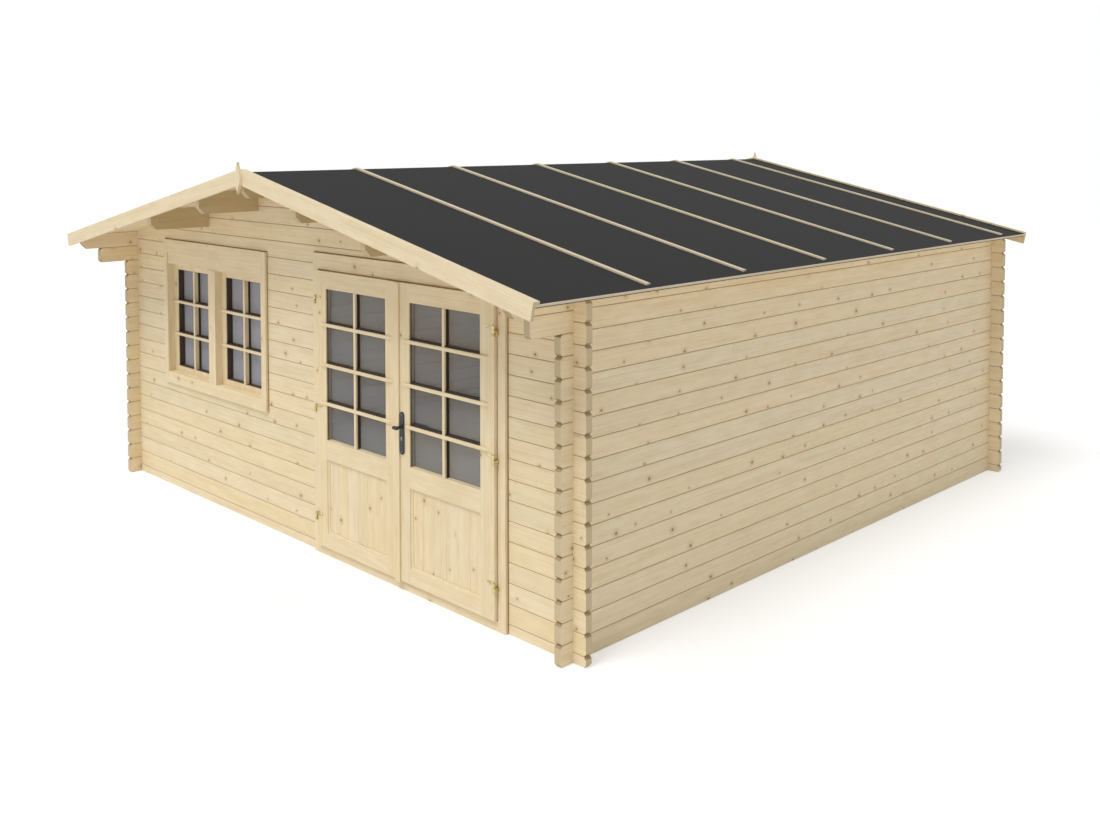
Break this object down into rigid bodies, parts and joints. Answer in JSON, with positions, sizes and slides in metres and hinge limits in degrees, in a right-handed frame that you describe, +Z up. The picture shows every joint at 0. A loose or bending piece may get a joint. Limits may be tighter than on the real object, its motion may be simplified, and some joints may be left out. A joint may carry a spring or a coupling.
{
  "type": "wooden garden shed",
  "caption": "Log-built garden shed with crossing log corners, glazed double doors that swing out, a fixed casement-style window and a felted gable roof with a deep front overhang.",
  "frame": {"origin": "Middle of the footprint of the whole shed, roof included, on the ground.", "axes": "X along the front wall to the right as seen from outside, Y from the front to the back, Z up."},
  "size_m": [5.2584, 5.546, 2.5387],
  "materials": {
    "wall_log": "planed untreated spruce",
    "roof_board": "planed untreated spruce boards",
    "trim": "planed untreated spruce",
    "joinery": "planed untreated spruce",
    "felt_strip": "pale planed strip",
    "floor": "planed floor boards",
    "felt": "mineral roofing felt",
    "pane": "clear float glass",
    "hinge": "yellow passivated",
    "handle": "black satin"
  },
  "bodies": {
    "shed": {"left_wall_logs": "wall_log", "right_wall_logs": "wall_log", "left_wall_plate": "wall_log", "right_wall_plate": "wall_log", "front_lower_logs": "wall_log", "front_corner_logs": "wall_log", "front_middle_logs": "wall_log", "front_right_logs": "wall_log", "front_gable_logs": "wall_log", "rear_wall_logs": "wall_log", "rear_gable_logs": "wall_log", "ridge_purlin": "wall_log", "purlins": "wall_log", "left_roof_boards": "roof_board", "right_roof_boards": "roof_board", "left_eave_batten": "roof_board", "right_eave_batten": "roof_board", "front_bargeboards": "trim", "rear_bargeboards": "trim", "front_cap_strips": "trim", "front_finial": "trim", "rear_finial": "trim", "door_left_post": "trim", "door_right_post": "trim", "door_head": "trim", "door_sill": "trim", "window_posts": "trim", "window_head": "trim", "window_sill": "trim", "left_felt_strips": "felt_strip", "right_felt_strips": "felt_strip", "window_sashes": "joinery", "floor_deck": "floor", "floor_joists": "floor", "window_glass": "pane", "frame_hinge_halves": "hinge", "roof_felt": "felt"},
    "left_leaf": {"left_leaf_stiles": "joinery", "left_leaf_rails": "joinery", "left_leaf_panel": "joinery", "left_leaf_glass": "pane", "left_hinge_halves": "hinge"},
    "right_leaf": {"right_leaf_stiles": "joinery", "right_leaf_rails": "joinery", "right_leaf_panel": "joinery", "right_leaf_glass": "pane", "right_hinge_halves": "hinge", "handle_plates": "handle"},
    "handle": {"door_handle": "handle"}
  },
  "joints": [
    {"name": "left_leaf_hinge", "type": "hinge", "parent": "shed", "child": "left_leaf", "pos_m": [0.1885, -2.339, 0.95], "axis": [0, 0, -1], "range_deg": [0, 165]},
    {"name": "right_leaf_hinge", "type": "hinge", "parent": "shed", "child": "right_leaf", "pos_m": [1.8915, -2.339, 0.95], "axis": [0, 0, 1], "range_deg": [0, 120]},
    {"name": "handle_turn", "type": "hinge", "parent": "right_leaf", "child": "handle", "pos_m": [1.086, -2.311, 0.993], "axis": [0, 1, 0], "range_deg": [0, 40], "stiffness_Nm_per_rad": 1.5, "springref_deg": -20.05}
  ]
}
